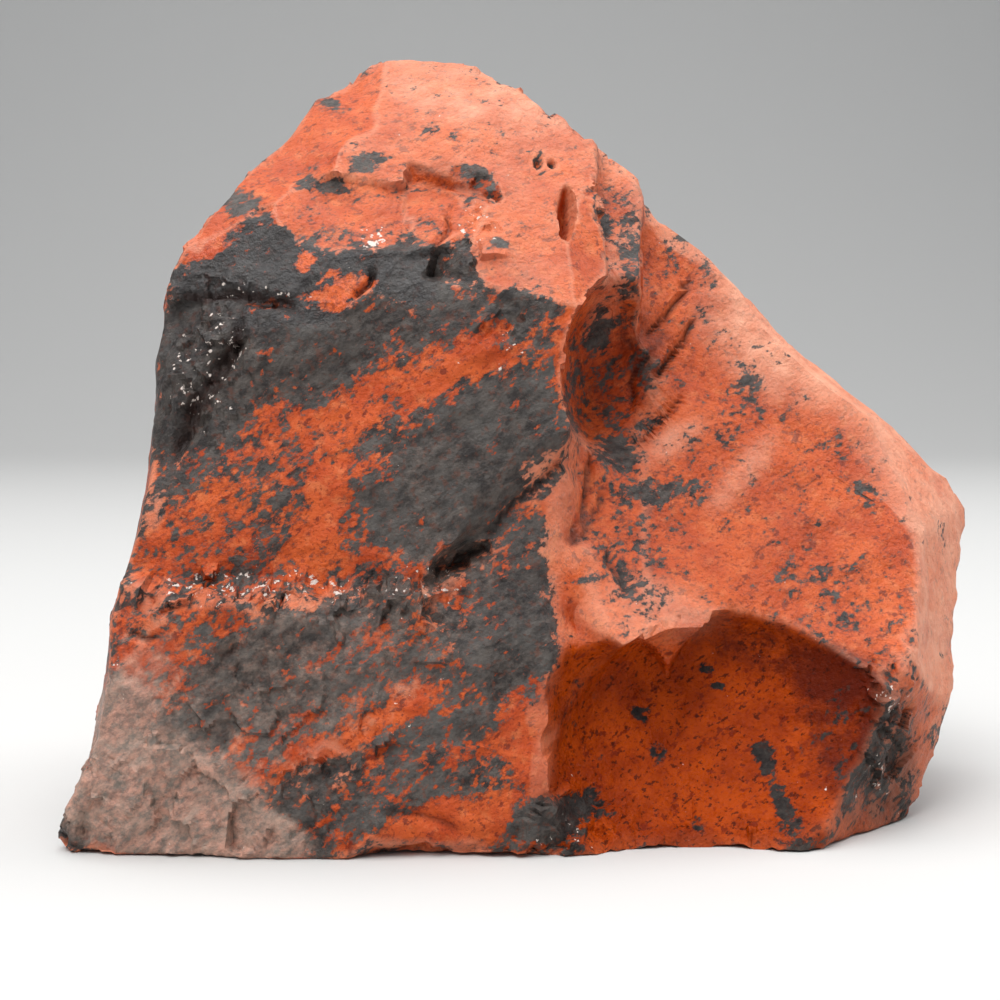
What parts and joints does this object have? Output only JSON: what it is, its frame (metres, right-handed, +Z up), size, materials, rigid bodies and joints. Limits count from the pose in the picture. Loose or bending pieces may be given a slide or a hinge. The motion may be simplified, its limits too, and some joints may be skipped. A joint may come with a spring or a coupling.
{
  "type": "rough mahogany obsidian",
  "caption": "Rough lump of mahogany obsidian, a brick-red and black volcanic glass, with flat broken faces and a scooped lower corner, standing on a flat base.",
  "frame": {"origin": "middle of the stone's box in plan, on the plane that it rests on", "axes": "+Z up, +X to the right and along the length seen from the broad front face, which looks to -Y"},
  "size_m": [0.149, 0.091, 0.126],
  "materials": {
    "volcanic_glass": "opaque brick-red volcanic glass mottled with black, dull and waxy where weathered, glossy on fresh breaks"
  },
  "bodies": {
    "root": {"mahogany_obsidian": "volcanic_glass"}
  },
  "joints": []
}
